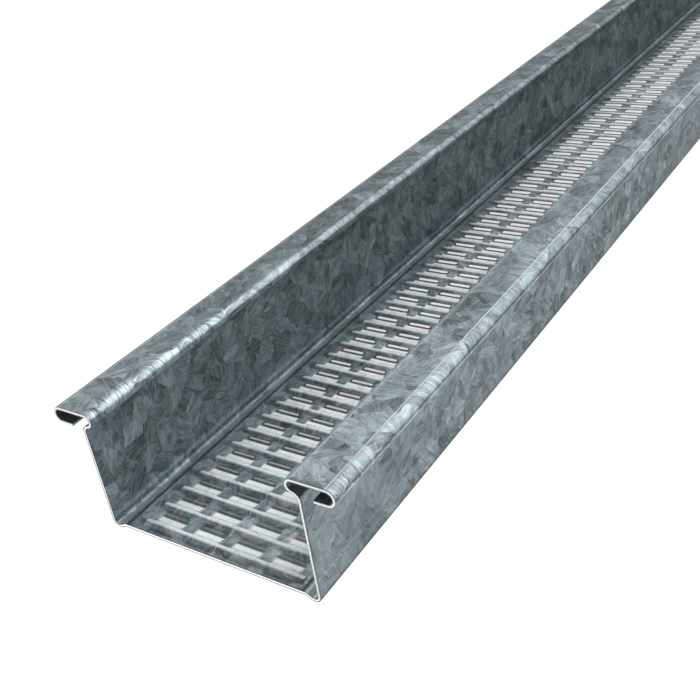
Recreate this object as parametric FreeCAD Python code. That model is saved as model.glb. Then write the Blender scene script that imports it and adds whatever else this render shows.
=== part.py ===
import FreeCAD, Part
import math
import os

# Furring channel: one length of galvanised strip, roll formed to a top-hat section and
# pierced across its web. It lies web down, with its open side up.
# Millimetres. X runs across the channel, Y along it, Z up. The origin is on the floor,
# half way along and on the line of symmetry.

# stock
LENGTH = 2400.0
SHEET = 0.70

# outer sizes of the section, and how far each lip reaches out past its flange
DEPTH = 28.0
FLANGE_WIDTH = 51.5
LIP_REACH = 7.25

# foot bead along each edge of the web, which lifts the web off the floor
BEAD_DROP = 0.85
BEAD_ANGLE = 30.0
BEAD_RADIUS = 0.95
CORNER_RADIUS = 0.90

# neck between flange and lip
NECK_INSET = 2.35
NECK_ANGLE = 70.0
NECK_RADIUS = 1.25
THROAT_RADIUS = 0.90

# lip folded outwards and back under itself
HOOK_RADIUS = 1.20
RETURN_LENGTH = 2.70

# rows of slots across the web: the metal left between the slots of a row, and the plain
# edge of the flat web beyond them, settle how long a slot is; the rows stand off the middle
SLOTS_PER_ROW = 4
SLOT_WIDTH = 0.80
SLOT_BRIDGE = 2.70
PLAIN_EDGE = 4.15
SLOT_SHIFT = 1.00
ROW_PITCH = 5.55
FIRST_ROW = 6.20
ROWS_PER_TURN = 22

NODE = "furring_channel"


class Strip:
    """Middle line of the strip, laid down leg by leg and bend by bend, with its two skins."""

    def __init__(self, x, z, heading, thickness):
        self.x = x
        self.z = z
        self.heading = math.radians(heading)
        self.half = thickness / 2
        self.left = []
        self.right = []

    def point(self, side):
        """Point of one skin here: side is +1 on the left of the heading, -1 on its right."""
        return FreeCAD.Vector(
            self.x - side * self.half * math.sin(self.heading),
            0,
            self.z + side * self.half * math.cos(self.heading),
        )

    def across(self):
        """Edge across the sheet here."""
        return Part.makeLine(self.point(1), self.point(-1))

    def leg(self, length):
        starts = self.point(1), self.point(-1)
        self.x += length * math.cos(self.heading)
        self.z += length * math.sin(self.heading)
        self.left.append(Part.makeLine(starts[0], self.point(1)))
        self.right.append(Part.makeLine(starts[1], self.point(-1)))

    def bend(self, angle, inside_radius):
        """Turn by an angle in degrees, to the left if positive, about the inner skin's radius."""
        turn = math.radians(angle)
        side = math.copysign(1, turn)
        radius = inside_radius + self.half
        centre_x = self.x - side * radius * math.sin(self.heading)
        centre_z = self.z + side * radius * math.cos(self.heading)
        stages = []
        for share in (0, 0.5, 1):
            heading = self.heading + share * turn
            spoke_x = side * math.sin(heading)
            spoke_z = -side * math.cos(heading)
            stages.append([
                FreeCAD.Vector(
                    centre_x + (radius - skin * side * self.half) * spoke_x,
                    0,
                    centre_z + (radius - skin * side * self.half) * spoke_z,
                )
                for skin in (1, -1)
            ])
        self.left.append(Part.Arc(*[stage[0] for stage in stages]).toShape())
        self.right.append(Part.Arc(*[stage[1] for stage in stages]).toShape())
        self.heading += turn
        self.x = centre_x + side * radius * math.sin(self.heading)
        self.z = centre_z - side * radius * math.cos(self.heading)


def bend_shift(radius, angle):
    """Sideways shift of the middle line in a bend that starts straight ahead."""
    return radius * (1 - math.cos(math.radians(angle)))


def bead_slope():
    """Straight run between the two bends that make the foot bead."""
    drop = BEAD_DROP
    for inside_radius in (BEAD_RADIUS, CORNER_RADIUS):
        drop -= bend_shift(inside_radius + SHEET / 2, BEAD_ANGLE)
    return drop / math.sin(math.radians(BEAD_ANGLE))


def web_half_width():
    """Half width of the flat web, up to where the foot bead bends down."""
    angle = math.radians(BEAD_ANGLE)
    bends = (BEAD_RADIUS + CORNER_RADIUS + SHEET) * math.sin(angle)
    return FLANGE_WIDTH / 2 - SHEET - CORNER_RADIUS - bends - bead_slope() * math.cos(angle)


def side_section():
    """Section of the right side as a face, from the edge of the flat web to the lip's free end."""
    half_sheet = SHEET / 2
    neck_radius = NECK_RADIUS + half_sheet
    throat_radius = THROAT_RADIUS + half_sheet
    neck = math.radians(NECK_ANGLE)
    neck_slope = (
        NECK_INSET - bend_shift(neck_radius, NECK_ANGLE) - bend_shift(throat_radius, NECK_ANGLE)
    ) / math.sin(neck)
    neck_height = (
        (neck_radius + throat_radius) * math.sin(neck)
        + neck_slope * math.cos(neck)
        + throat_radius
    )
    flange_height = DEPTH - SHEET - CORNER_RADIUS - half_sheet - neck_height
    lip_length = LIP_REACH + NECK_INSET - half_sheet - throat_radius - HOOK_RADIUS

    strip = Strip(web_half_width(), BEAD_DROP + half_sheet, 0, SHEET)
    web_edge = strip.across()
    strip.bend(-BEAD_ANGLE, BEAD_RADIUS)
    strip.leg(bead_slope())
    strip.bend(BEAD_ANGLE + 90, CORNER_RADIUS)
    strip.leg(flange_height)
    strip.bend(NECK_ANGLE, NECK_RADIUS)
    strip.leg(neck_slope)
    strip.bend(-NECK_ANGLE - 90, THROAT_RADIUS)
    strip.leg(lip_length)
    strip.bend(-180, HOOK_RADIUS)
    strip.leg(RETURN_LENGTH)
    return Part.Face(Part.Wire(strip.left + [strip.across()] + strip.right[::-1] + [web_edge]))


def side():
    """One flange with its bead, neck and hooked lip, over the whole length."""
    body = side_section().extrude(FreeCAD.Vector(0, LENGTH, 0))
    body.translate(FreeCAD.Vector(0, -LENGTH / 2, 0))
    return body


def rectangle(x, y, width, length):
    """Rectangle at the web's underside, from its corner of least x and y."""
    corners = [(x, y), (x + width, y), (x + width, y + length), (x, y + length), (x, y)]
    return Part.makePolygon([FreeCAD.Vector(*corner, BEAD_DROP) for corner in corners])


def slot_row(y):
    """Outlines of the slots that end at y, side by side across the web."""
    reach = web_half_width() - PLAIN_EDGE
    first = SLOT_SHIFT - reach
    pitch = (2 * reach + SLOT_BRIDGE) / SLOTS_PER_ROW
    return [
        rectangle(first + column * pitch, y - SLOT_WIDTH, pitch - SLOT_BRIDGE, SLOT_WIDTH).reversed()
        for column in range(SLOTS_PER_ROW)
    ]


def web():
    """The pierced web, one plate for each turn of the piercing roller."""
    half_width = web_half_width()
    rows = int((LENGTH - 2 * FIRST_ROW) / ROW_PITCH) + 1
    plates = []
    start = -LENGTH / 2
    for first in range(0, rows, ROWS_PER_TURN):
        last = min(first + ROWS_PER_TURN, rows)
        slots = []
        for row in range(first, last):
            slots += slot_row(-LENGTH / 2 + FIRST_ROW + row * ROW_PITCH)
        end = LENGTH / 2
        if last < rows:
            end = -LENGTH / 2 + FIRST_ROW + (last - 0.5) * ROW_PITCH
        outline = rectangle(-half_width, start, 2 * half_width, end - start)
        plates.append(Part.Face([outline] + slots).extrude(FreeCAD.Vector(0, 0, SHEET)))
        start = end
    return plates


def furring_channel():
    right = side()
    left = right.mirror(FreeCAD.Vector(0, 0, 0), FreeCAD.Vector(1, 0, 0))
    return right.fuse([left] + web()).Solids[0]


def main():
    os.makedirs("parts", exist_ok=True)
    channel = furring_channel()
    box = channel.BoundBox
    print(NODE, "faces", len(channel.Faces), "volume", round(channel.Volume, 1))
    print("box", round(box.XLength, 3), round(box.YLength, 3), round(box.ZLength, 3))
    channel.exportStep("parts/" + NODE + ".step")


main()
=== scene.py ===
import math
from collections import namedtuple

import bpy
import numpy as np
from mathutils import Euler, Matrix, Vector


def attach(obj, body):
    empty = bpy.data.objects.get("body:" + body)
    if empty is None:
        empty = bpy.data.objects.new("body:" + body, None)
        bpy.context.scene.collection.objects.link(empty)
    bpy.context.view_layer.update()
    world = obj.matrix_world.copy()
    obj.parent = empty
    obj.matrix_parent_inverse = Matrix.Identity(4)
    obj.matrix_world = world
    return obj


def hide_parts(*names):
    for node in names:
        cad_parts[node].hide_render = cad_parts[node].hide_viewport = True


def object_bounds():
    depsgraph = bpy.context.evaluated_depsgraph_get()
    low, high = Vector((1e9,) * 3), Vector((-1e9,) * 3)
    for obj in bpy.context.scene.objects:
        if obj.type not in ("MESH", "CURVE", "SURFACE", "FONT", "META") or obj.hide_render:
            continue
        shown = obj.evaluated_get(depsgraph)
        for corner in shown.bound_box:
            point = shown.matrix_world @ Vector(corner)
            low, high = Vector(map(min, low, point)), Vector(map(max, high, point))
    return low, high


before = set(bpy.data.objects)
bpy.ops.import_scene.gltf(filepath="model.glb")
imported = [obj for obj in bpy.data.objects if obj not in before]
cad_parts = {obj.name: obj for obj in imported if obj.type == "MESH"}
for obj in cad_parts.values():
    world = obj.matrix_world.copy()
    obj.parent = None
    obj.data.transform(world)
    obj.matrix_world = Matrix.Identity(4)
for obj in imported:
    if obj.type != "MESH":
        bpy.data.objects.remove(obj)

bl_info = {
    "name": "Furring channel",
    "version": (1, 0, 0),
    "blender": (4, 5, 0),
    "location": "View3D > Sidebar > Channel",
    "description": "Builds a length of pierced, galvanised furring channel and its studio",
    "category": "Add Mesh",
}

NODE = "furring_channel"
LOWEST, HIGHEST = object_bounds()
MM = 0.001

# meshes: how many pieces the web is made in, how far inside the foot beads it ends, the turn of
# one step of a bend in degrees, and the angle from which an edge is sharp
WEB_PIECES = 4
WEB_SEAM = 0.8 * MM
BEND_STEP = 9
SHARP_ANGLE = math.radians(62)

# the stored third place of the outer skin, which tells the two skins apart
SKIN_GAP = 0.05

# Zinc. A tone of 0.1 is the dark flake, 0.5 the middle one and 1 the light one, and these say
# how much each part of the grain adds to it.
BASE_TONE = 0.49
FLAKE_TONE, SHARD_TONE = 0.27, 0.25
STROKE_TONE, FINE_STROKE_TONE = 0.78, 0.74
VEIN_TONE, CLOUD_TONE = 0.08, 0.24
CLOUD_OFFSET = (0.171, 0.262, 0.0)
MEAN_NOISE = (0.5, 0.5, 0.5)
ZINC_SPECULAR_TINT = (0.30, 0.31, 0.32)

# lengths of the channel, from its near end, over which its look changes from 0 to 1
NEAR_END = (70 * MM, 0.0)
# in the nearest rows the painted shade is deeper and the lips' painted reflection fades
NEAREST_ROWS = (32 * MM, 8 * MM)
DISTANT = (30 * MM, 200 * MM)
FURTHER = (0.0, 100 * MM)
FURTHEST = (80 * MM, 220 * MM)

# how softly the bands of painted light and shade begin and end, and the half widths of the lines:
# painted highlights on the hook and the lip's edge, the roll line and the score line
BAND_SOFTNESS = 0.25 * MM
HOOK_HIGHLIGHT, ROLL_LINE, SCORE_LINE = 0.16 * MM, 0.14 * MM, 0.11 * MM
LIP_EDGE_HIGHLIGHT = 0.35 * MM
FOLD_SOFTNESS = 0.8 * MM

# Painted highlights, reflection and shade round the web's ribs and slots: the two millimetres
# between which each rises from 0 to 1, from the feature that its name starts with.
RIB_END_EDGE = (0.05, -0.35)
OUTER_SLOT_EDGE = (0.5, 0.3)
OUTER_LIP_EDGE = (0.6, 0.4)
OUTER_CREST_EDGE = (0.0, 0.6)
RIB_START_CREST, RIB_FAR_CREST = (0.15, 1.05), (-0.05, -0.40)
RIB_START_FLANK, RIB_START_BRIDGE_FLANK = (0.85, 0.20), (-0.3, 0.0)
RIB_FAR_PATCH, RAMP_END_PATCH = (-0.42, -0.20), (-0.22, -0.44)
RIB_START_SHADE = (0.6, -0.1)

# lamps: the way to each, and how broad it is in degrees
TOWARD_KEY, KEY_SPREAD = (0.38, 0.72, 0.58), 80.0
TOWARD_FILL, FILL_SPREAD = (-0.25, -0.75, 0.60), 90.0
LAMP_DISTANCE = 3.0
FLOOR_REACH = 40.0


def size(name, description, default):
    return bpy.props.FloatProperty(
        name=name, description=description, default=default, min=0.0, precision=5,
        subtype="DISTANCE", unit="LENGTH",
    )


def angle(name, description, degrees):
    return bpy.props.FloatProperty(
        name=name, description=description, default=math.radians(degrees),
        subtype="ANGLE", unit="ROTATION",
    )


def share(name, description, default):
    return bpy.props.FloatProperty(
        name=name, description=description, default=default, min=0.0, max=1.0, subtype="FACTOR",
    )


def strength(name, description, default):
    return bpy.props.FloatProperty(name=name, description=description, default=default, min=0.0)


def colour(name, description, default):
    return bpy.props.FloatVectorProperty(
        name=name, description=description, default=default, size=3, min=0.0, max=1.0,
        subtype="COLOR",
    )


class SectionSizes(bpy.types.PropertyGroup):
    """Roll-formed section, the same all the way along."""

    sheet: size("Sheet", "Thickness of the strip", 0.70 * MM)
    flange_width: size("Flange width", "Over the outer faces of both flanges", 51.5 * MM)
    depth: size("Depth", "From the foot beads to the top of the lips", 28.0 * MM)
    lip_reach: size("Lip reach", "How far each lip reaches out past its flange", 7.25 * MM)
    bead_drop: size("Bead drop", "How far the foot bead hangs below the web", 0.85 * MM)
    bead_angle: angle("Bead angle", "Slope of the web's edge down into the foot bead", 30.0)
    bead_radius: size("Bead radius", "Inside radius where the web turns down", 0.95 * MM)
    corner_radius: size("Corner radius", "Inside radius between bead and flange", 0.90 * MM)
    neck_inset: size("Neck inset", "How far the flange steps in under the lip", 2.35 * MM)
    neck_angle: angle("Neck angle", "Turn of the flange into the neck", 70.0)
    neck_radius: size("Neck radius", "Inside radius at the foot of the neck", 1.25 * MM)
    throat_radius: size("Throat radius", "Inside radius from neck to lip", 0.90 * MM)
    hook_radius: size("Hook radius", "Inside radius of the lip's fold", 1.20 * MM)
    return_length: size("Return length", "Flat part of the lip's folded edge", 2.70 * MM)


class PiercingSizes(bpy.types.PropertyGroup):
    """Rows of lanced slots and ribs pressed across the web."""

    row_pitch: size("Row pitch", "From one row of slots to the next", 5.55 * MM)
    first_row: size("First row", "From the cut end to the far side of its row of slots", 0.65 * MM)
    slots_per_row: bpy.props.IntProperty(
        name="Slots in a row", description="Slots side by side across the web",
        default=4, min=1, max=12,
    )
    bridge: size("Bridge", "Metal left between the slots of a row", 2.70 * MM)
    plain_edge: size("Plain edge", "Mean flat web beyond the outer slots", 4.15 * MM)
    shift: size("Shift", "How far the rows stand off the middle of the web", 1.00 * MM)
    slot_width: size("Slot width", "Width of a slot along the channel", 0.80 * MM)
    slit: size("Slit", "Open width of a slot beside its lip", 0.14 * MM)
    rib_start: size("Rib start", "From the slot to the near foot of the rib", 0.75 * MM)
    rib_width: size("Rib width", "Width of the half-round rib", 1.95 * MM)
    rib_height: size("Rib height", "Height of the rib above the web", 0.56 * MM)
    rib_end: size("Rib end", "How far the ribs reach past the outer slots", 1.90 * MM)
    ramp_rise: size("Ramp rise", "Height of the burnished ramp at the rib's far foot", 0.22 * MM)
    ramp_drop: size("Ramp drop", "How far that ramp ends below the web", 0.26 * MM)


class ZincFinish(bpy.types.PropertyGroup):
    """Hot-dip galvanised coat with its crystal pattern, and the colours of its painted highlights,
    reflection and shade.
    """

    flake: size("Flake size", "Usual width of a zinc crystal", 5.0 * MM)
    stroke: size("Stroke width", "Width of the feathery strokes inside a crystal", 0.46 * MM)
    dark: colour("Dark flake", "Crystals turned away from the light", (0.075, 0.085, 0.09))
    middle: colour("Middle flake", "Most of the crystals", (0.240, 0.274, 0.295))
    light: colour("Light flake", "Crystals that catch the light", (0.53, 0.595, 0.63))
    cool: colour("Cool tint", "Tint of the bluish crystals", (0.93, 1.0, 1.0))
    warm: colour("Warm tint", "Tint of the lilac crystals", (1.0, 0.975, 0.975))
    # painted highlight: the white laid on the rib crests and on the ramps behind them
    painted_highlight: colour("Painted highlight", "White painted as the highlight on rib crests and ramps", (1.0, 1.0, 1.0))
    # painted shade: a dark ring round each slot's lip
    pocket: colour("Pocket", "Dark ring round each slot's lip", (0.030, 0.030, 0.032))
    # painted reflection on the slot lips: dark near the cut end, light further along
    near_lip_reflection: colour("Near lip reflection", "Slot lips near the cut end", (0.25, 0.245, 0.25))
    far_lip_reflection: colour("Far lip reflection", "Slot lips further along", (1.0, 0.96, 0.96))
    cut: colour("Cut edge", "Freshly cut edge of the strip", (0.95, 0.96, 0.97))
    metallic: share("Metallic", "Share of the surface that mirrors as metal", 0.70)
    roughness: share("Roughness", "Roughness of the zinc between its crystals", 0.38)


class StudioSettings(bpy.types.PropertyGroup):
    """Floor, lamps and the photographer's place."""

    floor: colour("Floor", "Colour of the studio floor", (0.86, 0.86, 0.86))
    glow: strength("Floor glow", "Light added to the floor where it is seen", 0.84)
    sky: strength("Sky", "Strength of the soft light from all round", 0.70)
    key: strength("Key lamp", "Strength of the broad lamp behind the channel", 2.4)
    fill: strength("Fill lamp", "Strength of the broad lamp beside the camera", 0.40)
    place: bpy.props.FloatVectorProperty(
        name="Camera place", description="Where the camera stands",
        default=(0.112196, -1.294439, 0.127587), size=3, precision=5,
        subtype="TRANSLATION", unit="LENGTH",
    )
    turn: bpy.props.FloatVectorProperty(
        name="Camera turn", description="How the camera is turned",
        default=tuple(math.radians(a) for a in (58.693, 7.735, 32.471)), size=3,
        subtype="EULER", unit="ROTATION",
    )
    lens: bpy.props.FloatProperty(
        name="Lens", description="Focal length on a 36 mm sensor", default=50.85, min=10.0,
        unit="CAMERA",
    )


def is_vector(value):
    """Whether a value or field has three parts."""
    if isinstance(value, Field):
        return value.socket.type in ("VECTOR", "RGBA")
    return isinstance(value, tuple)


class Field:
    """A number, vector or colour that varies over a surface; sums on it add nodes."""

    def __init__(self, shader, socket):
        self.shader = shader
        self.socket = socket

    def _sum(self, operation, first, second):
        vectors = is_vector(first) + is_vector(second)
        if not vectors:
            return self._math(operation, first, second)
        sockets = {0: first, 1: second}
        if operation == "MULTIPLY" and vectors == 1:
            operation = "SCALE"
            vector, number = (first, second) if is_vector(first) else (second, first)
            sockets = {0: vector, "Scale": number}
        return self.shader.node("VectorMath", {"operation": operation}, sockets)["Vector"]

    def _math(self, operation, *values):
        return self.shader.node("Math", {"operation": operation}, dict(enumerate(values)))["Value"]

    def __add__(self, other):
        return self._sum("ADD", self, other)

    def __radd__(self, other):
        return self._sum("ADD", other, self)

    def __sub__(self, other):
        return self._sum("SUBTRACT", self, other)

    def __rsub__(self, other):
        return self._sum("SUBTRACT", other, self)

    def __mul__(self, other):
        return self._sum("MULTIPLY", self, other)

    def __rmul__(self, other):
        return self._sum("MULTIPLY", other, self)

    def __truediv__(self, other):
        return self._sum("DIVIDE", self, other)

    def __pow__(self, other):
        return self._sum("POWER", self, other)

    def __abs__(self):
        return self._math("ABSOLUTE", self)

    def fraction(self):
        return self._math("FRACT", self)

    def above(self, least):
        return self._math("MAXIMUM", self, least)

    def ramp(self, low, high):
        """0 at low and 1 at high, smooth between; low may be the greater."""
        return self.shader.node(
            "MapRange", {"interpolation_type": "SMOOTHSTEP"},
            {"Value": self, "From Min": low, "From Max": high},
        )["Result"]

    def edge(self, place, reach):
        """A ramp from 0 to 1 between the two distances of reach, in millimetres, from a place."""
        return self.ramp(place + reach[0] * MM, place + reach[1] * MM)

    def between(self, low, high):
        """1 from low to high, with the soft edges of a roll's mark."""
        rise = self.ramp(low - BAND_SOFTNESS, low + BAND_SOFTNESS)
        return rise * self.ramp(high + BAND_SOFTNESS, high - BAND_SOFTNESS)

    def line(self, centre, half_width):
        """1 on a line at centre, 0 beyond half_width."""
        return abs(self - centre).ramp(half_width, 0.4 * half_width)


class Shader:
    """A material's node tree."""

    def __init__(self, tree):
        self.tree = tree
        tree.nodes.clear()

    def node(self, kind, settings, sockets):
        """Add a node: its settings are set first, then the values or links of its sockets."""
        node = self.tree.nodes.new("ShaderNode" + kind)
        for name, value in settings.items():
            if name == "stops":
                stops = node.color_ramp.elements
                for i, (place, tint) in enumerate(value):
                    stop = stops[i] if i < 2 else stops.new(place)
                    stop.position = place
                    stop.color = (*tint, 1.0)
            else:
                setattr(node, name, value)
        for key, value in sockets.items():
            if isinstance(key, int):
                socket = node.inputs[key]
            else:
                socket = next(s for s in node.inputs if s.enabled and s.name == key)
            if isinstance(value, Field):
                self.tree.links.new(value.socket, socket)
            elif socket.type == "RGBA":
                socket.default_value = (*value, 1.0)
            else:
                socket.default_value = value
        return {s.name: Field(self, s) for s in node.outputs if s.enabled}

    def mix(self, factor, first, second, blend="MIX"):
        """Mix two colours."""
        return self.node(
            "Mix", {"data_type": "RGBA", "blend_type": blend, "clamp_result": False},
            {"Factor": factor, "A": first, "B": second},
        )["Result"]

    def mix_shaders(self, factor, first, second):
        return self.node("MixShader", {}, {0: factor, 1: first, 2: second})["Shader"]

    def surface(self, shader):
        self.node("OutputMaterial", {}, {"Surface": shader})


class StripPlace:
    """The stored place on the strip: run across it, along the channel, and which skin."""

    def __init__(self, shader):
        self.vector = shader.node("Attribute", {"attribute_name": "strip_place"}, {})["Vector"]
        parts = shader.node("SeparateXYZ", {}, {"Vector": self.vector})
        self.run, self.along, self.skin = parts["X"], parts["Y"], parts["Z"]

    def stretch(self, reach):
        """0 at one distance from the near end and 1 at the other."""
        return self.along.ramp(LOWEST.y + reach[0], LOWEST.y + reach[1])


# what crystals of one size give: shade, tint and lean of each, the strokes that run across it,
# and the place turned its way
Crystals = namedtuple("Crystals", "shade tint lean strokes turned")

# where the slots and ribs of the web lie, for its material
Rows = namedtuple("Rows", "start pitch shift slot_width column_pitch half_slot outer rib_end rib")

# painted highlights, reflection and shade round the web's ribs and slots, each from 0 to 1, and how
# far along the channel they change
Press = namedtuple("Press", "crest flank patch shade lip pocket worn further furthest open_side")


def new_material(name, shown):
    """A material that the plain view shows in one colour, and its node tree."""
    material = bpy.data.materials.new(name)
    material.use_nodes = True
    material.diffuse_color = (*shown, 1.0)
    return material, Shader(material.node_tree)


def darker(tint, factor):
    return tuple(factor * part for part in tint)


def crystals(shader, bent, place, width, stroke):
    """Crystals of one size and width of stroke; bent is the place that their outlines follow."""
    cell = shader.node(
        "TexVoronoi", {"feature": "F1"}, {"Vector": bent, "Scale": 1 / width, "Randomness": 1.0},
    )["Color"]
    parts = shader.node("SeparateColor", {}, {"Color": cell})
    turned = shader.node(
        "VectorRotate", {"rotation_type": "Z_AXIS"},
        {"Vector": place, "Angle": parts["Red"] * (2 * math.pi)},
    )["Vector"]
    strokes = shader.node(
        "TexNoise", {},
        {
            "Vector": turned * (1.0, 0.10, 1.0), "Scale": 1 / stroke,
            "Detail": 2.5, "Roughness": 0.62, "Distortion": 0.10,
        },
    )["Fac"]
    return Crystals(parts["Green"] - 0.5, parts["Blue"], cell - MEAN_NOISE, strokes - 0.5, turned)


def zinc_crystals(shader, finish, place):
    """The coat's flakes, and the shards inside them."""
    sway = shader.node(
        "TexNoise", {},
        {
            "Vector": place.vector, "Scale": 1.4 / finish.flake,
            "Detail": 4.0, "Roughness": 0.6,
        },
    )["Color"] - MEAN_NOISE
    bent = place.vector + sway * (0.50 * finish.flake)
    nearly = place.vector + sway * (0.08 * finish.flake)
    flakes = crystals(shader, bent, nearly, finish.flake, finish.stroke)
    inside = flakes.turned * (1.0, 0.40, 1.0) + sway * (0.10 * finish.flake)
    shards = crystals(shader, inside, nearly, 0.26 * finish.flake, 0.55 * finish.stroke)
    return flakes, shards


def zinc_tone(shader, finish, place, flakes, shards, outer, near_end):
    """Tone of the plain coat: bolder and lighter inside near the cut end, less bold on the outer
    skin there, and darker on the outer skin all along, a painted shade.
    """
    cloud = shader.node(
        "TexNoise", {},
        {
            "Vector": place.vector + CLOUD_OFFSET, "Scale": 0.30 / finish.flake,
            "Detail": 2.0,
        },
    )["Fac"] - 0.5
    veins = abs(flakes.strokes).ramp(0.022, 0.0)
    grain = flakes.shade * FLAKE_TONE + shards.shade * SHARD_TONE
    grain = grain + flakes.strokes * STROKE_TONE + shards.strokes * FINE_STROKE_TONE
    grain = grain + veins * VEIN_TONE
    tone = grain * (1 + near_end * (0.08 - 0.42 * outer)) + cloud * CLOUD_TONE + BASE_TONE
    # painted shade: the outer skin is darker all along
    return tone + near_end * (1 - outer) * 0.12 - outer * 0.14


def roll_marks(tone, place, outer, near_end, strokes, marks):
    """The tone with the rolls' line on the outer flange, and with painted highlights and shade in
    bands and lines along the bends.
    """
    across = abs(place.run)
    for skin, bands in ((1 - outer, marks["inside"]), (outer, marks["outside"])):
        for low, high, lift in bands:
            tone = tone + across.between(low, high) * skin * lift
    # painted highlight on the bead's slope, stronger near the cut end
    tone = tone + across.between(*marks["bead"]) * (1 - outer) * (0.40 + near_end * 0.20)
    # painted highlight: a line where the hook's rounding starts
    tone = tone + across.line(marks["hook"], HOOK_HIGHLIGHT) * (1 - outer) * 0.9
    tone = tone + across.line(marks["roll"], ROLL_LINE) * outer * 0.24

    # painted highlight on the fold from throat to lip near the cut end, and painted shade there
    # further along
    throat, lip_edge = marks["throat"]
    fold = across.ramp(throat, throat + FOLD_SOFTNESS)
    fold = fold * across.ramp(lip_edge + FOLD_SOFTNESS, lip_edge)
    fold_light_and_shade = near_end * (strokes * 1.6 + 0.05) - place.stretch(DISTANT) * 0.26
    tone = tone + fold * (1 - outer) * fold_light_and_shade
    # painted highlight: a line along the right lip's inner edge
    lip_edge_highlight = place.run.line(lip_edge - LIP_EDGE_HIGHLIGHT, LIP_EDGE_HIGHLIGHT)
    return tone + lip_edge_highlight * (1 - outer) * 0.45


def press_marks(place, outer, rows):
    """Painted highlights, reflection and shade round the ribs and slots, on the web's inner skin.
    """
    inner = 1 - outer
    worn, further, furthest = (place.stretch(reach) for reach in (NEAREST_ROWS, FURTHER, FURTHEST))

    # places within a row, across the rows, and within a slot
    row = (place.along - rows.start) / rows.pitch
    ahead = row.fraction() * rows.pitch
    from_slot = ((row + 0.5).fraction() - 0.5) * rows.pitch
    off_middle = abs(place.run - rows.shift)
    column = (place.run - rows.shift) / rows.column_pitch
    aside = abs(column.fraction() - 0.5) * rows.column_pitch
    past_end = (aside - (rows.half_slot - 0.95 * MM)).above(0.0)

    in_rows = off_middle.edge(rows.rib_end, RIB_END_EDGE) * inner
    in_slots = off_middle.edge(rows.outer, OUTER_SLOT_EDGE) * inner * aside.ramp(
        rows.half_slot + 0.25 * MM + worn * (0.15 * MM),
        rows.half_slot - 0.05 * MM - worn * (0.65 * MM),
    )

    # the lip in each slot, which carries a painted reflection, and a ring of painted shade round it
    near_slots = off_middle.edge(rows.outer, OUTER_LIP_EDGE) * inner
    from_middle = from_slot + 0.29 * MM - further * (0.08 * MM) - furthest * (0.36 * MM)
    lip_half = 0.17 * MM + further * (0.21 * MM) + furthest * (0.30 * MM)
    from_lip = (past_end * past_end + from_middle * from_middle) ** 0.5
    lip = from_lip.ramp(lip_half + 0.12 * MM, lip_half) * near_slots
    from_pocket = from_middle + 0.16 * MM
    from_pocket = (past_end * past_end + from_pocket * from_pocket) ** 0.5
    pocket = from_pocket.ramp(
        lip_half + 0.60 * MM + worn * (0.15 * MM), lip_half + 0.42 * MM - worn * (0.25 * MM)
    )
    pocket = pocket * near_slots * (1 - worn * 0.25)

    # the rib: a painted highlight on its crest, painted shade on its near flank and at the flank's
    # foot
    start, end = rows.rib
    up_rib = ahead - (1 - further) * (0.20 * MM)
    crest = up_rib.edge(start, RIB_START_CREST) * in_rows * ahead.edge(end, RIB_FAR_CREST)
    crest = crest * (1 - off_middle.edge(rows.outer, OUTER_CREST_EDGE) * 0.22)
    # towards the left flange the painted flank shade is weaker and the painted highlights are
    # darker
    open_side = place.run.ramp(-19.0 * MM, -5.0 * MM)
    flank = up_rib.edge(start, RIB_START_FLANK) * in_rows
    flank = flank * (in_slots + ahead.edge(start, RIB_START_BRIDGE_FLANK) * (1 - in_slots))
    flank = flank * (0.32 - 0.16 * further - 0.09 * furthest) * (0.55 + open_side * 0.45)
    shade = ahead.edge(start, RIB_START_SHADE) * in_slots * (0.10 + worn * 0.25)

    # a painted highlight on the ramp behind the rib, with a grey step between them
    patch = ahead.edge(end, RIB_FAR_PATCH) * in_slots
    patch = patch * ahead.edge(rows.pitch - rows.slot_width, RAMP_END_PATCH)
    step = ahead.line(end + 0.12 * MM, 0.32 * MM) * (0.36 - 0.16 * further)
    patch = patch * (1 - step)
    return Press(crest, flank, patch, shade, lip, pocket, worn, further, furthest, open_side)


def zinc_colour(shader, finish, tone, tint):
    """Grey of a tone, tinted crystal by crystal."""
    grey = shader.node(
        "ValToRGB",
        {
            "stops": [
                (0.10, tuple(finish.dark)), (1.0, tuple(finish.light)),
                (0.5, tuple(finish.middle)),
            ],
        },
        {"Fac": tone},
    )["Color"]
    tints = shader.mix(tint.ramp(0.25, 0.85), tuple(finish.cool), tuple(finish.warm))
    return shader.mix(1.0, grey, tints, "MULTIPLY")


def pressed_colour(shader, finish, zinc, press, shards):
    """Zinc with painted shade, painted highlights and the lips' painted reflection laid over it."""
    speckle = (shards.strokes * 1.2 + shards.shade * 0.5 + 0.5).ramp(0.15, 0.52)
    speckle = 0.66 + 0.34 * speckle
    # colour of the painted highlights: white, tinted cyan and pink crystal by crystal, darker
    # towards the left flange
    sheen = shader.mix(shards.tint.ramp(0.35, 0.75), (0.87, 1.0, 1.0), (1.0, 0.96, 0.97))
    highlight_colour = shader.mix(1.0, tuple(finish.painted_highlight), sheen, "MULTIPLY")
    highlight_colour = highlight_colour * (0.80 + press.open_side * 0.20)
    # the lips' painted reflection, from dark near the cut end to light further along
    lips = shader.mix(press.further, tuple(finish.near_lip_reflection), tuple(finish.far_lip_reflection))
    # painted shade at the flanks' feet, painted highlights on the crests and ramps, a ring of
    # painted shade round each lip, and the lips' painted reflection
    for share_here, tint in (
        (press.shade, tuple(finish.dark)),
        (press.crest * speckle * 0.80, highlight_colour),
        (press.patch * speckle, highlight_colour),
        (press.pocket * (0.70 - 0.25 * press.furthest), tuple(finish.pocket)),
        (press.lip * (1 - press.worn * 0.80), lips),
    ):
        zinc = shader.mix(share_here, zinc, tint)
    return zinc


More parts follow.
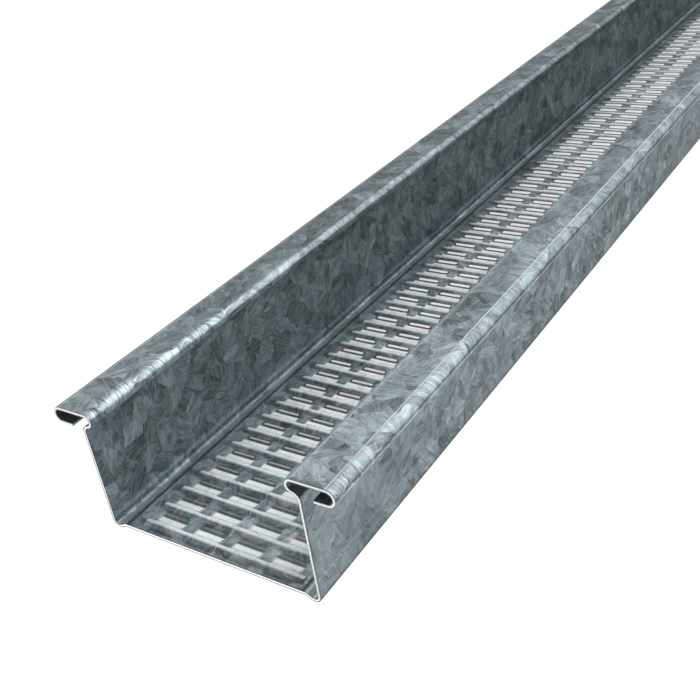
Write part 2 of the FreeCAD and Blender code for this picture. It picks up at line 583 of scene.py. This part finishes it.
def zinc_material(name, finish, marks, rows=None):
    """Galvanised sheet: crystals of several greys with fine strokes, a roll line, and painted
    highlights and shade along the bends; rows are given for the pierced web, which also gets
    painted highlights, reflection and shade round its ribs and slots."""
    material, shader = new_material(name, finish.middle)
    place = StripPlace(shader)
    outer = place.skin.ramp(0.4 * SKIN_GAP, 0.6 * SKIN_GAP)
    near_end = place.stretch(NEAR_END)
    flakes, shards = zinc_crystals(shader, finish, place)
    tone = zinc_tone(shader, finish, place, flakes, shards, outer, near_end)
    tone = roll_marks(tone, place, outer, near_end, flakes.strokes, marks)
    metallic = finish.metallic
    if rows:
        press = press_marks(place, outer, rows)
        score = place.run.line(0.0, SCORE_LINE) * (0.32 + press.worn * 0.20)
        # painted shade on the rib's near flank, and a light score line along the middle
        zinc = zinc_colour(shader, finish, tone + 0.07 - press.flank + score, shards.tint)
        zinc = pressed_colour(shader, finish, zinc, press, shards)
        # the painted highlights and the lips' painted reflection are made less metallic
        highlight_share = (press.crest + press.patch + press.lip).ramp(0.0, 1.0)
        metallic = finish.metallic - highlight_share * (finish.metallic - 0.04)
    else:
        zinc = zinc_colour(shader, finish, tone, shards.tint)
    # painted shade: a dark line on the skins along both cut ends
    end_shade = abs(place.along).ramp(HIGHEST.y - 0.26 * MM, HIGHEST.y - 0.14 * MM)
    zinc = shader.mix(end_shade * 0.45, zinc, darker(finish.dark, 0.35))

    normal = shader.node("NewGeometry", {}, {})["Normal"]
    normal = normal + flakes.lean * 0.055 + shards.lean * 0.045
    relief = shader.node(
        "Bump", {},
        {
            "Strength": 0.38, "Distance": 0.08 * MM,
            "Height": (flakes.strokes * 0.6 + shards.strokes * 0.4) * (1 - near_end * 0.45),
            "Normal": shader.node("VectorMath", {"operation": "NORMALIZE"}, {0: normal})["Vector"],
        },
    )["Normal"]
    shader.surface(
        shader.node(
            "BsdfPrincipled", {},
            {
                "Base Color": zinc, "Metallic": metallic,
                "Roughness": finish.roughness + shards.strokes * 0.22 + flakes.shade * 0.10,
                "Specular IOR Level": 0.5, "Specular Tint": ZINC_SPECULAR_TINT,
                "Normal": relief,
            },
        )["BSDF"]
    )
    return material


def cut_material(name, finish):
    """Sheared edge: bright steel with fine streaks and a border of painted shade; on the web it is
    painted bright all over, without the streaks.
    """
    material, shader = new_material(name, finish.cut)
    place = StripPlace(shader)
    streaks = shader.node(
        "TexNoise", {}, {"Vector": place.vector, "Scale": 1800.0, "Detail": 2.0},
    )["Fac"]
    depth = place.skin / SKIN_GAP
    # painted shade: a dark border along both edges of the cut face
    border = 1 - depth.ramp(0.06, 0.21) * depth.ramp(0.80, 0.60)
    # painted light: on the web the cut face is left bright, without the darker streaks
    on_web = abs(place.run).ramp(0.80 * HIGHEST.x, 0.72 * HIGHEST.x)
    streaks_and_painted_light = streaks.ramp(0.38, 0.70).above(on_web)
    face = shader.mix(streaks_and_painted_light, darker(finish.cut, 0.45), tuple(finish.cut))
    shader.surface(
        shader.node(
            "BsdfPrincipled", {},
            {
                "Base Color": shader.mix(border * 0.9, face, darker(finish.dark, 0.5)),
                "Metallic": 0.70, "Roughness": 0.26 + (streaks - 0.5) * 0.3,
            },
        )["BSDF"]
    )
    return material


class Strip:
    """Middle line of the strip, laid down leg by leg and bend by bend."""

    def __init__(self, x, z, sheet):
        self.half = sheet / 2
        self.heading = 0.0
        self.x = x
        self.z = z
        self.run = x
        self.stations = []
        self.mark()

    def mark(self):
        """Note both skins here, with the distance run along the strip."""
        across = np.array([-math.sin(self.heading), math.cos(self.heading)]) * self.half
        here = np.array([self.x, self.z])
        self.stations.append((here + across, here - across, self.run))

    def leg(self, length):
        self.x += length * math.cos(self.heading)
        self.z += length * math.sin(self.heading)
        self.run += length
        self.mark()

    def bend(self, turn, inside_radius):
        radius = inside_radius + self.half
        side = math.copysign(1, turn)
        centre_x = self.x - side * radius * math.sin(self.heading)
        centre_z = self.z + side * radius * math.cos(self.heading)
        steps = max(3, round(abs(math.degrees(turn)) / BEND_STEP))
        for _ in range(steps):
            self.heading += turn / steps
            self.x = centre_x + side * radius * math.sin(self.heading)
            self.z = centre_z - side * radius * math.cos(self.heading)
            self.run += radius * abs(turn) / steps
            self.mark()


def flat_half_width(section):
    """Half width of the flat web, and the straight run of the foot bead's slope."""
    drop = section.bead_drop
    for inside_radius in (section.bead_radius, section.corner_radius):
        drop -= (inside_radius + section.sheet / 2) * (1 - math.cos(section.bead_angle))
    slope = drop / math.sin(section.bead_angle)
    radii = section.bead_radius + section.corner_radius + section.sheet
    bends = radii * math.sin(section.bead_angle)
    half = section.flange_width / 2 - section.sheet - section.corner_radius
    return half - bends - slope * math.cos(section.bead_angle), slope


def roll_bands(bead, flange, throat, lip, hook):
    """Where the section's tone changes, from the places where those parts of the section start: the
    rolls' line, and painted highlights and shade on the bends, bead and hook.

    Places are distances run across the strip, and a band's third number changes its tone."""
    return {
        # the roll line on the outer flange, a painted highlight line where the hook starts, the
        # fold from throat to lip with its painted highlight and shade, and a painted highlight band
        # on the bead
        "roll": flange + 4.0 * MM,
        "hook": hook,
        "throat": (throat, lip),
        "bead": (bead + 0.45 * MM, bead + 2.45 * MM),
        "inside": (
            # plain edge of the web a little darker, painted shade in the groove beside the bead,
            # and a painted highlight on the bead's inner slope
            (bead - 3.6 * MM, bead - 1.0 * MM, -0.07),
            (bead - 0.62 * MM, bead - 0.05 * MM, -0.68),
            (bead + 0.45 * MM, bead + 1.60 * MM, 0.27),
            # painted shade on the corner and the flange, a faint painted highlight on the fold of
            # the neck, and the top of the lip a little darker
            (bead + 3.0 * MM, flange + 0.4 * MM, -0.35),
            (flange + 1.5 * MM, throat - 0.5 * MM, -0.15),
            (throat + 0.5 * MM, lip - 0.1 * MM, 0.05),
            (lip + 0.6 * MM, hook + 2.6 * MM, -0.06),
            # round the hook: a line of painted shade, a painted highlight and painted shade on the
            # underside
            (hook + 2.15 * MM, hook + 2.45 * MM, -0.45),
            (hook + 2.85 * MM, hook + 3.10 * MM, 0.26),
            (hook + 3.45 * MM, hook + 4.8 * MM, -0.60),
        ),
        "outside": (
            # painted shade on the outer skin of the foot corner
            (flange - 1.5 * MM, flange - 0.15 * MM, -0.55),
        ),
    }


def side_stations(section, start):
    """Right side of the section, from a point of the flat web to the lip's free edge, and where its
    tone changes: the rolls' line and painted highlights and shade."""
    half_sheet = section.sheet / 2
    half_flat, slope = flat_half_width(section)
    neck_radius = section.neck_radius + half_sheet
    throat_radius = section.throat_radius + half_sheet
    neck = section.neck_angle
    inset = section.neck_inset - (neck_radius + throat_radius) * (1 - math.cos(neck))
    neck_slope = inset / math.sin(neck)
    neck_height = (
        (neck_radius + throat_radius) * math.sin(neck) + neck_slope * math.cos(neck) + throat_radius
    )
    flange_height = section.depth - section.sheet - section.corner_radius - half_sheet - neck_height
    lip_reach = section.lip_reach + section.neck_inset
    lip_length = lip_reach - half_sheet - throat_radius - section.hook_radius
    right_angle = math.pi / 2

    strip = Strip(start, section.bead_drop + half_sheet, section.sheet)
    strip.leg(half_flat - start)
    bead = strip.run
    strip.bend(-section.bead_angle, section.bead_radius)
    strip.leg(slope)
    strip.bend(section.bead_angle + right_angle, section.corner_radius)
    flange = strip.run
    strip.leg(flange_height)
    strip.bend(neck, section.neck_radius)
    strip.leg(neck_slope)
    throat = strip.run
    strip.bend(-neck - right_angle, section.throat_radius)
    lip = strip.run
    strip.leg(lip_length)
    hook = strip.run
    strip.bend(-math.pi, section.hook_radius)
    strip.leg(section.return_length)
    return strip.stations, roll_bands(bead, flange, throat, lip, hook)


def wall_faces(index, kept, offset):
    """Walls from the first skin to the second round the kept cells; offset is the number of
    points in a skin."""
    padded = np.pad(kept, 1)
    walls = []
    for low, high, first, second in (
        (padded[:-1, 1:-1], padded[1:, 1:-1], index[:, :-1], index[:, 1:]),
        (padded[1:-1, 1:], padded[1:-1, :-1], index[:-1, :], index[1:, :]),
    ):
        for edge, one, two in ((high & ~low, first, second), (low & ~high, second, first)):
            one, two = one[edge], two[edge]
            walls.append(np.stack([one, two, two + offset, one + offset], axis=-1))
    return np.concatenate(walls)


def sheet_object(name, top, bottom, place, kept, materials):
    """Closed sheet from two skins of the same grid of points.

    Cells that are not kept are holes, and the sheet's edges get walls of the cut finish."""
    columns, lines = top.shape[:2]
    offset = columns * lines
    index = np.arange(offset).reshape(columns, lines)
    cells = np.stack([index[:-1, :-1], index[1:, :-1], index[1:, 1:], index[:-1, 1:]], axis=-1)
    upper = cells[kept]
    lower = upper[:, ::-1] + offset
    faces = np.concatenate([upper, lower, wall_faces(index, kept, offset)])
    points = np.concatenate([top.reshape(-1, 3), bottom.reshape(-1, 3)])
    behind = place.copy()
    behind[..., 2] += SKIN_GAP
    places = np.concatenate([place.reshape(-1, 3), behind.reshape(-1, 3)])
    used, faces = np.unique(faces, return_inverse=True)
    faces = faces.reshape(-1, 4)

    mesh = bpy.data.meshes.new(name)
    mesh.vertices.add(len(used))
    mesh.vertices.foreach_set("co", points[used].astype(np.float32).ravel())
    mesh.loops.add(faces.size)
    mesh.loops.foreach_set("vertex_index", faces.astype(np.int32).ravel())
    mesh.polygons.add(len(faces))
    mesh.polygons.foreach_set("loop_start", np.arange(0, faces.size, 4, dtype=np.int32))
    finish = np.zeros(len(faces), np.int32)
    finish[len(upper) + len(lower):] = 1
    mesh.polygons.foreach_set("material_index", finish)
    mesh.polygons.foreach_set("use_smooth", finish == 0)
    for material in materials:
        mesh.materials.append(material)
    mesh.update(calc_edges=True)
    mesh.attributes.new("strip_place", "FLOAT_VECTOR", "POINT").data.foreach_set(
        "vector", places[used].astype(np.float32).ravel()
    )
    mesh.set_sharp_from_angle(angle=SHARP_ANGLE)
    mesh.validate()
    piece = bpy.data.objects.new(name, mesh)
    bpy.context.scene.collection.objects.link(piece)
    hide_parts(NODE)
    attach(piece, "root")


def web_limit(section):
    """Where the web's own mesh ends and the sides begin."""
    return flat_half_width(section)[0] - WEB_SEAM


def build_side(name, section, hand, materials):
    """One flange with its bead, neck and hooked lip; hand is 1 for right and -1 for left."""
    stations, _ = side_stations(section, web_limit(section))
    top, bottom, place = np.zeros((3, len(stations), 2, 3))
    for grid in (top, bottom, place):
        grid[..., 1] = LOWEST.y, HIGHEST.y
    for i, (inner, outer, run) in enumerate(stations):
        top[i, :, 0], top[i, :, 2] = hand * inner[0], inner[1]
        bottom[i, :, 0], bottom[i, :, 2] = hand * outer[0], outer[1]
        place[i, :, 0] = hand * run
    if hand < 0:
        top, bottom, place = top[::-1], bottom[::-1], place[::-1]
    kept = np.ones((len(stations) - 1, 1), bool)
    sheet_object(name, top, bottom, place, kept, materials)


def slot_columns(section, piercing):
    """Centres of a row's slots, half a slot's length and the pitch between slots."""
    half_flat = flat_half_width(section)[0]
    slots = piercing.slots_per_row
    pitch = (2 * (half_flat - piercing.plain_edge) + piercing.bridge) / slots
    centres = piercing.shift + (np.arange(slots) - (slots - 1) / 2) * pitch
    return centres, (pitch - piercing.bridge) / 2, pitch


def row_profile(piercing):
    """Lines along one row, as (distance from the slot's far side, height between the slots,
    height in line with them)."""
    start, width, height = piercing.rib_start, piercing.rib_width, piercing.rib_height
    lines = [(0.05 * MM, 0.0, 0.0), (start - 0.15 * MM, 0.0, 0.12 * MM)]
    for degrees in (0, 28, 52, 75, 98, 122, 148):
        turn = math.radians(degrees)
        share_along = (1 - math.cos(turn)) / 2
        up = height * math.sin(turn)
        lines.append((start + share_along * width, up, max(up, 0.16 * MM)))
    ramp_end = piercing.row_pitch - piercing.slot_width
    lines += [
        (start + width, 0.0, piercing.ramp_rise),
        (ramp_end, 0.0, -piercing.ramp_drop),
        (ramp_end + piercing.slit, 0.0, -0.06 * MM),
        (piercing.row_pitch - 0.10 * MM, 0.0, 0.04 * MM),
    ]
    return np.array(lines)


def build_web(name, section, piercing, first, last, rows, materials):
    """Rows first to last of the pierced web; the outer ones close it at the cut ends."""
    limit = web_limit(section)
    centres, half_slot, _ = slot_columns(section, piercing)
    reach = centres[-1] - piercing.shift + half_slot + piercing.rib_end
    blend = 0.45 * MM
    rounding = np.array([0.90, 0.50, 0.20, 0.0]) * MM
    cross = [[-limit, limit]]
    for side in (-1, 1):
        cross += [centre + side * (half_slot + np.array([-0.5, 0.5]) * blend) for centre in centres]
        cross.append(piercing.shift + side * (reach - rounding))
    cross = np.unique(np.round(np.concatenate(cross), 8))

    profile = row_profile(piercing)
    slit_line = len(profile) - 3
    starts = LOWEST.y + piercing.first_row + piercing.row_pitch * np.arange(first, last)
    lines = [
        (start + ahead, between, slotted, i == slit_line)
        for start in starts
        for i, (ahead, between, slotted) in enumerate(profile)
    ]
    if first == 0:
        lines.insert(0, (LOWEST.y, 0.0, 0.0, False))
    if last == rows:
        lines = lines[:-3] + [(HIGHEST.y, 0.0, 0.0, False)]
    else:
        lines.append((starts[-1] + piercing.row_pitch + profile[0, 0], *profile[0, 1:], False))
    lines = np.array(lines, float)
    along, between, slotted = lines[:, :3].T
    open_after = lines[:-1, 3] > 0

    from_centre = np.abs(cross[:, None] - centres[None, :]).min(axis=1)
    inside = np.clip((half_slot + 0.5 * blend - from_centre) / blend, 0, 1)[:, None]
    past = np.abs(cross - piercing.shift) - (reach - rounding[0])
    rounded = np.sqrt(1 - np.clip(past / rounding[0], 0, 1) ** 2)[:, None]
    height = inside * slotted + (1 - inside) * rounded * between

    top = np.zeros((len(cross), len(along), 3))
    top[..., 0] = cross[:, None]
    top[..., 1] = along[None, :]
    place = top.copy()
    top[..., 2] = section.bead_drop + section.sheet + height
    bottom = top.copy()
    bottom[..., 2] -= section.sheet

    middles = (cross[:-1] + cross[1:]) / 2
    from_centre = np.abs(middles[:, None] - centres[None, :]).min(axis=1)
    in_slot = from_centre < half_slot - 0.1 * blend
    kept = ~(in_slot[:, None] & open_after[None, :])
    sheet_object(name, top, bottom, place, kept, materials)


def web_rows(section, piercing):
    """Sizes of the rows of slots, for the web's material."""
    centres, half_slot, pitch = slot_columns(section, piercing)
    outer = centres[-1] + half_slot - piercing.shift
    return Rows(
        start=LOWEST.y + piercing.first_row, pitch=piercing.row_pitch,
        shift=piercing.shift + (0.5 * pitch if piercing.slots_per_row % 2 else 0.0),
        slot_width=piercing.slot_width, column_pitch=pitch, half_slot=half_slot,
        outer=outer, rib_end=outer + piercing.rib_end,
        rib=(piercing.rib_start, piercing.rib_start + piercing.rib_width),
    )


def finishes(pressed):
    """The zinc and cut-edge materials of the sides or of the pressed web, made once."""
    scene = bpy.context.scene
    section, finish = scene.channel_section, scene.channel_zinc
    name = "pierced_zinc" if pressed else "galvanised_zinc"
    zinc = bpy.data.materials.get(name)
    if zinc is None:
        _, marks = side_stations(section, web_limit(section))
        rows = web_rows(section, scene.channel_piercing) if pressed else None
        zinc = zinc_material(name, finish, marks, rows)
    cut = bpy.data.materials.get("sheared_edge") or cut_material("sheared_edge", finish)
    return [zinc, cut]


def floor_paint(studio):
    """Pale floor that is seen white all round the channel, but not under it."""
    paint, shader = new_material("floor_paint", studio.floor)
    rays = shader.node("LightPath", {}, {})
    seen = rays["Is Camera Ray"].above(rays["Is Glossy Ray"]).above(rays["Is Transmission Ray"])
    place = shader.node("NewGeometry", {}, {})["Position"]
    spot = shader.node("SeparateXYZ", {}, {"Vector": place})
    beside = abs(spot["X"]).ramp(0.66 * HIGHEST.x, 0.79 * HIGHEST.x)
    beyond = abs(spot["Y"]).ramp(HIGHEST.y - 2.5 * MM, HIGHEST.y - 0.5 * MM)
    open_floor = 1 - (1 - beside) * (1 - beyond)
    lit = shader.node("BsdfDiffuse", {}, {"Color": tuple(studio.floor)})["BSDF"]
    glow = shader.node(
        "Emission", {}, {"Color": (1.0, 1.0, 1.0), "Strength": studio.glow}
    )["Emission"]
    both = shader.node("AddShader", {}, {0: lit, 1: glow})["Shader"]
    shader.surface(shader.mix_shaders(seen * open_floor, lit, both))
    return paint


def build_floor(studio):
    mesh = bpy.data.meshes.new("studio_floor")
    mesh.from_pydata(
        [(x * FLOOR_REACH, y * FLOOR_REACH, 0) for x, y in ((-1, -1), (1, -1), (1, 1), (-1, 1))],
        [], [(0, 1, 2, 3)],
    )
    mesh.materials.append(floor_paint(studio))
    floor = bpy.data.objects.new("studio_floor", mesh)
    bpy.context.scene.collection.objects.link(floor)


def build_world(studio):
    """Soft light that is brightest round the middle; metal mirrors it at full strength, and
    the camera sees plain white."""
    world = bpy.data.worlds.new("studio_world")
    world.use_nodes = True
    bpy.context.scene.world = world
    shader = Shader(world.node_tree)
    rays = shader.node("LightPath", {}, {})
    toward = shader.node("TexCoord", {}, {})["Generated"]
    up = shader.node("SeparateXYZ", {}, {"Vector": toward})["Z"]
    ceiling = shader.node(
        "ValToRGB",
        {"stops": [
            (0.0, (0.50, 0.50, 0.50)), (1.0, (0.50, 0.51, 0.52)),
            (0.30, (0.58, 0.58, 0.58)), (0.62, (1.0, 1.0, 1.0)),
        ]},
        {"Fac": up},
    )["Color"]
    soft, bright, white = (
        shader.node("Background", {}, {"Color": tint, "Strength": level})["Background"]
        for tint, level in ((ceiling, studio.sky), (ceiling, 1.0), ((1.0, 1.0, 1.0), 1.0))
    )
    mirrored = shader.mix_shaders(rays["Is Glossy Ray"], soft, bright)
    shown = shader.mix_shaders(rays["Is Camera Ray"], mirrored, white)
    shader.node("OutputWorld", {}, {"Surface": shown})


def build_lamp(name, energy, toward, spread):
    lamp = bpy.data.lights.new(name, "SUN")
    lamp.energy = energy
    lamp.angle = math.radians(spread)
    holder = bpy.data.objects.new(name, lamp)
    holder.rotation_mode = "QUATERNION"
    holder.rotation_quaternion = Vector(toward).to_track_quat("Z", "Y")
    holder.location = Vector(toward) * LAMP_DISTANCE
    bpy.context.scene.collection.objects.link(holder)


def build_camera(studio):
    eye = bpy.data.cameras.new("camera")
    eye.sensor_width = 36.0
    eye.lens = studio.lens
    eye.clip_start = 0.01
    eye.clip_end = 200.0
    camera = bpy.data.objects.new("camera", eye)
    camera.location = studio.place
    camera.rotation_euler = Euler(studio.turn, "XYZ")
    bpy.context.scene.collection.objects.link(camera)
    bpy.context.scene.camera = camera


class CHANNEL_OT_sides(bpy.types.Operator):
    """Build both flanges with their foot beads, necks and hooked lips"""

    bl_idname = "channel.sides"
    bl_label = "Flanges and lips"

    def execute(self, context):
        section = context.scene.channel_section
        build_side("side_left", section, -1, finishes(False))
        build_side("side_right", section, 1, finishes(False))
        return {"FINISHED"}


class CHANNEL_OT_web(bpy.types.Operator):
    """Build the web with its ribs and lifted slots"""

    bl_idname = "channel.web"
    bl_label = "Pierced web"

    def execute(self, context):
        section = context.scene.channel_section
        piercing = context.scene.channel_piercing
        length = HIGHEST.y - LOWEST.y
        rows = int((length - piercing.first_row) / piercing.row_pitch)
        limits = [round(rows * part / WEB_PIECES) for part in range(WEB_PIECES + 1)]
        for part, (first, last) in enumerate(zip(limits, limits[1:]), 1):
            build_web("web_%d" % part, section, piercing, first, last, rows, finishes(True))
        return {"FINISHED"}


class CHANNEL_OT_studio(bpy.types.Operator):
    """Build the pale floor, the soft lamps and the camera"""

    bl_idname = "channel.studio"
    bl_label = "Studio"

    def execute(self, context):
        studio = context.scene.channel_studio
        build_floor(studio)
        build_world(studio)
        build_lamp("key_lamp", studio.key, TOWARD_KEY, KEY_SPREAD)
        build_lamp("fill_lamp", studio.fill, TOWARD_FILL, FILL_SPREAD)
        build_camera(studio)
        context.scene.view_settings.view_transform = "Standard"
        return {"FINISHED"}


class CHANNEL_PT_panel(bpy.types.Panel):
    """Sizes, finish and studio of the channel"""

    bl_idname = "CHANNEL_PT_panel"
    bl_label = "Furring channel"
    bl_space_type = "VIEW_3D"
    bl_region_type = "UI"
    bl_category = "Channel"

    def draw(self, context):
        for group, operators in (
            ("channel_section", ("channel.sides",)),
            ("channel_piercing", ("channel.web",)),
            ("channel_zinc", ()),
            ("channel_studio", ("channel.studio",)),
        ):
            box = self.layout.box()
            settings = getattr(context.scene, group)
            for name in settings.__annotations__:
                box.prop(settings, name)
            for operator in operators:
                box.operator(operator)


CLASSES = (
    SectionSizes, PiercingSizes, ZincFinish, StudioSettings,
    CHANNEL_OT_sides, CHANNEL_OT_web, CHANNEL_OT_studio, CHANNEL_PT_panel,
)
GROUPS = {
    "channel_section": SectionSizes,
    "channel_piercing": PiercingSizes,
    "channel_zinc": ZincFinish,
    "channel_studio": StudioSettings,
}


def register():
    for cls in CLASSES:
        bpy.utils.register_class(cls)
    for name, group in GROUPS.items():
        setattr(bpy.types.Scene, name, bpy.props.PointerProperty(type=group))


def unregister():
    for name in GROUPS:
        delattr(bpy.types.Scene, name)
    for cls in reversed(CLASSES):
        bpy.utils.unregister_class(cls)


def main():
    register()
    bpy.ops.channel.sides()
    bpy.ops.channel.web()
    bpy.ops.channel.studio()


if __name__ == "__main__":
    main()
